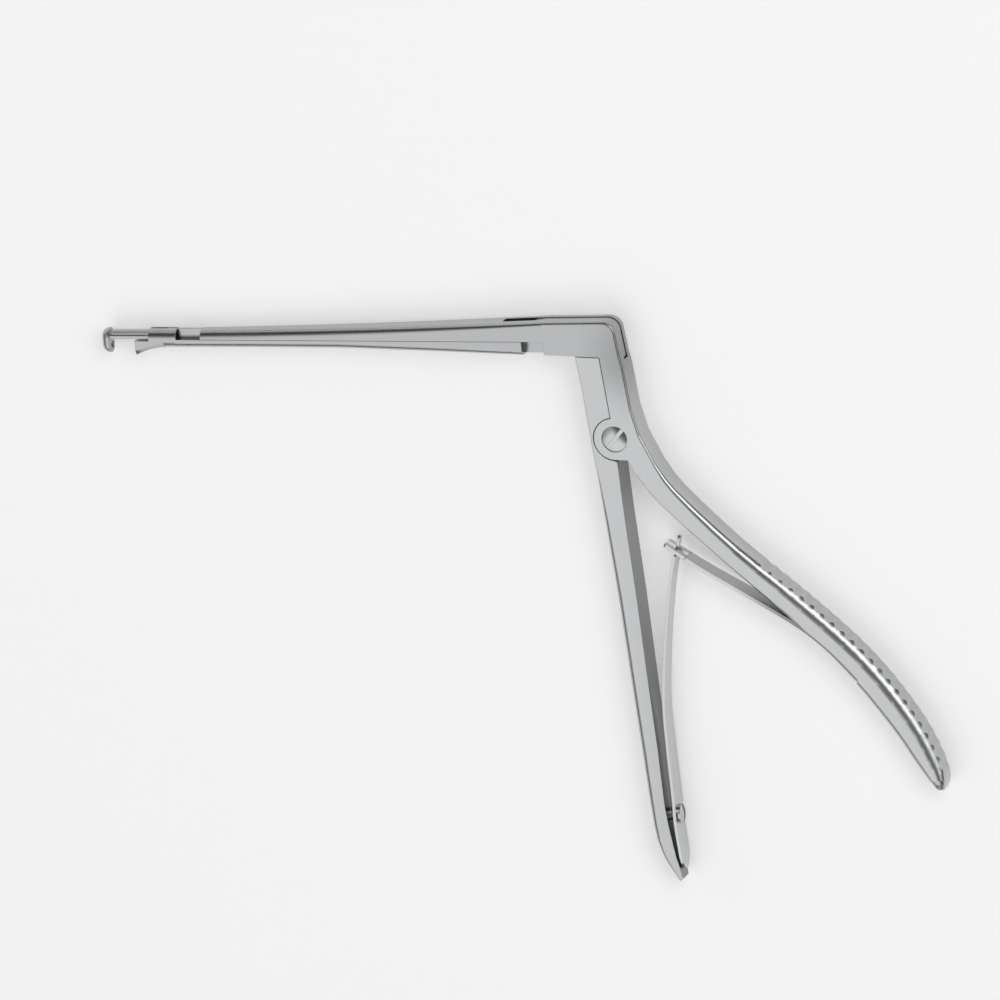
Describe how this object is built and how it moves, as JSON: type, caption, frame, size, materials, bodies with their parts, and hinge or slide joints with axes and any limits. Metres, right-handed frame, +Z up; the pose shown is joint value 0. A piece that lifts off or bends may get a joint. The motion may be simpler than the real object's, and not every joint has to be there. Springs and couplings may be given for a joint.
{
  "type": "bone rongeur",
  "caption": "Bone biting forceps: a fixed hooked bar with a sliding jaw under it, driven by a spring-returned lever handle against a grooved rear handle.",
  "frame": {"origin": "bottom centre of the bounding box, with the tool lying on its side on the far faces of its joint and handles", "axes": "+X from the hook towards the handles along the bar, +Y from the handles towards the bar, +Z up across the tool"},
  "size_m": [0.2164, 0.1483, 0.0082],
  "materials": {
    "satin_steel": "satin ground stainless steel",
    "slider_steel": "satin ground stainless steel",
    "lever_steel": "satin ground stainless steel",
    "spring_steel": "smooth rolled spring steel",
    "screw_steel": "turned steel"
  },
  "bodies": {
    "frame": {"frame": "satin_steel", "rear_leaf_spring": "spring_steel", "rear_spring_screw": "screw_steel", "pivot_screw": "screw_steel"},
    "slider": {"slider": "slider_steel"},
    "lever": {"lever": "lever_steel", "front_leaf_spring": "spring_steel", "front_spring_screw": "screw_steel"}
  },
  "joints": [
    {"name": "lever_pivot", "type": "hinge", "parent": "frame", "child": "lever", "pos_m": [0.0283, 0.04313, 0.0039], "axis": [0, 0, 1], "range_deg": [0, 16.6], "stiffness_Nm_per_rad": 1.2, "springref_deg": -8.59, "deforming": ["front_leaf_spring", "rear_leaf_spring"]},
    {"name": "slider_slide", "type": "slide", "parent": "frame", "child": "slider", "axis": [-1, 0, 0], "range_m": [0, 0.00696]}
  ],
  "couplings": [
    {"joint": "slider_slide", "follows": "lever_pivot", "m_per_rad": 0.024}
  ]
}
